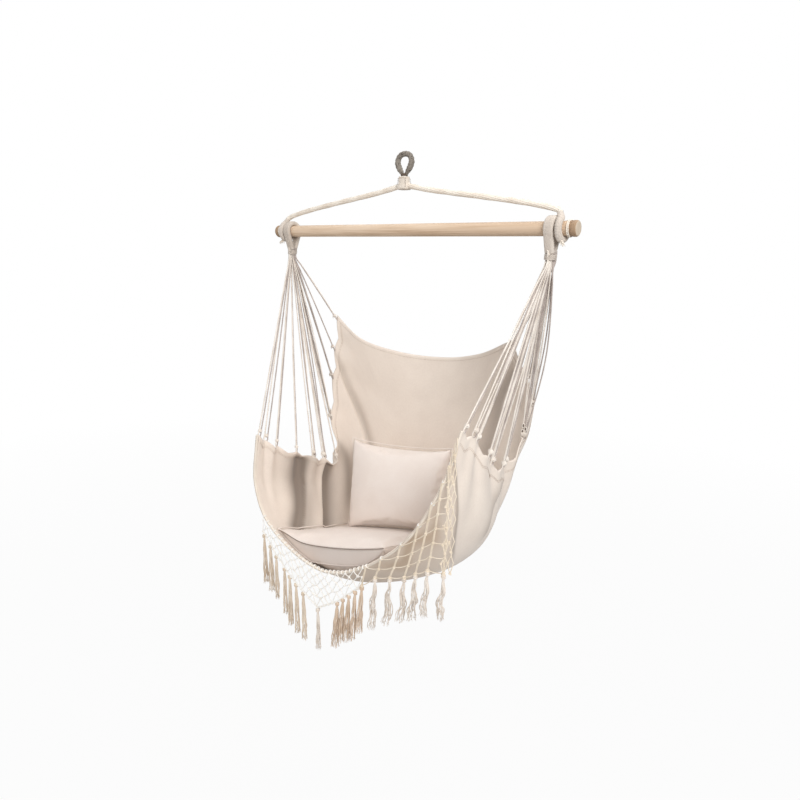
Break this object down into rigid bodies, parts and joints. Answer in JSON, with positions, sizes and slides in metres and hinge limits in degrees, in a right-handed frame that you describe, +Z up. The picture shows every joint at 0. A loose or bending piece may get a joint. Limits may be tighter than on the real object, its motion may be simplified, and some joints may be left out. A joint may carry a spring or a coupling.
{
  "type": "hammock chair",
  "caption": "Hanging hammock chair: a fabric sling on two fans of cords under a wooden bar, with a rope hanging eye, seat and back cushions, and a knotted fringe on its front edge",
  "frame": {"origin": "the hanging point: the underside of the top of the rope eye, where the hook bears", "axes": "+Z up; +X along the spreader bar to the sitter's left-hand end; -Y the way the sitter faces, so the back of the sling is at +Y"},
  "size_m": [1, 0.5185, 1.3802],
  "materials": {
    "served_rope": "grey-brown served rope, twisted",
    "cotton_rope": "cream cotton rope, matt",
    "cotton_cord": "cream twisted cotton cord, matt",
    "canvas": "cream woven cotton canvas, matt",
    "cushion_cloth": "cream woven cotton, matt, filled",
    "bar_wood": "pale hardwood dowel, satin"
  },
  "bodies": {
    "eye": {"hanging_eye": "served_rope"},
    "spreader": {"eye_sleeve": "cotton_rope", "spreader_bar": "bar_wood", "top_rope_left": "cotton_rope", "top_rope_right": "cotton_rope", "bar_twine_left": "cotton_cord", "bar_twine_right": "cotton_cord"},
    "sling": {"clew_loop_left": "cotton_rope", "clew_loop_right": "cotton_rope", "clew_whipping_left": "cotton_cord", "clew_whipping_right": "cotton_cord", "suspension_cords_left": "cotton_cord", "suspension_cords_right": "cotton_cord", "canvas": "canvas", "front_edge_rope": "cotton_rope", "macrame_net": "cotton_cord", "tassel_01": "cotton_cord", "tassel_02": "cotton_cord", "tassel_03": "cotton_cord", "tassel_04": "cotton_cord", "tassel_05": "cotton_cord", "tassel_06": "cotton_cord", "tassel_07": "cotton_cord", "tassel_08": "cotton_cord", "tassel_09": "cotton_cord", "tassel_10": "cotton_cord", "tassel_11": "cotton_cord", "tassel_12": "cotton_cord", "tassel_13": "cotton_cord", "tassel_14": "cotton_cord", "tassel_15": "cotton_cord", "tassel_16": "cotton_cord", "tassel_17": "cotton_cord", "tassel_18": "cotton_cord", "tassel_19": "cotton_cord"},
    "seat_cushion": {"seat_cushion": "cushion_cloth"},
    "back_cushion": {"back_cushion": "cushion_cloth"}
  },
  "joints": [
    {"name": "bar_tilt", "type": "hinge", "parent": "eye", "child": "spreader", "pos_m": [0, 0, -0.061], "axis": [0, 1, 0], "range_deg": [-8, 8]},
    {"name": "sling_rock", "type": "hinge", "parent": "spreader", "child": "sling", "pos_m": [0, 0, -0.19], "axis": [1, 0, 0], "range_deg": [-25, 25]},
    {"name": "seat_lift", "type": "slide", "parent": "sling", "child": "seat_cushion", "axis": [0, 0, 1], "range_m": [0, 0.12]},
    {"name": "back_lift", "type": "slide", "parent": "seat_cushion", "child": "back_cushion", "axis": [0, -0.35, 0.9367], "range_m": [0, 0.12]}
  ]
}
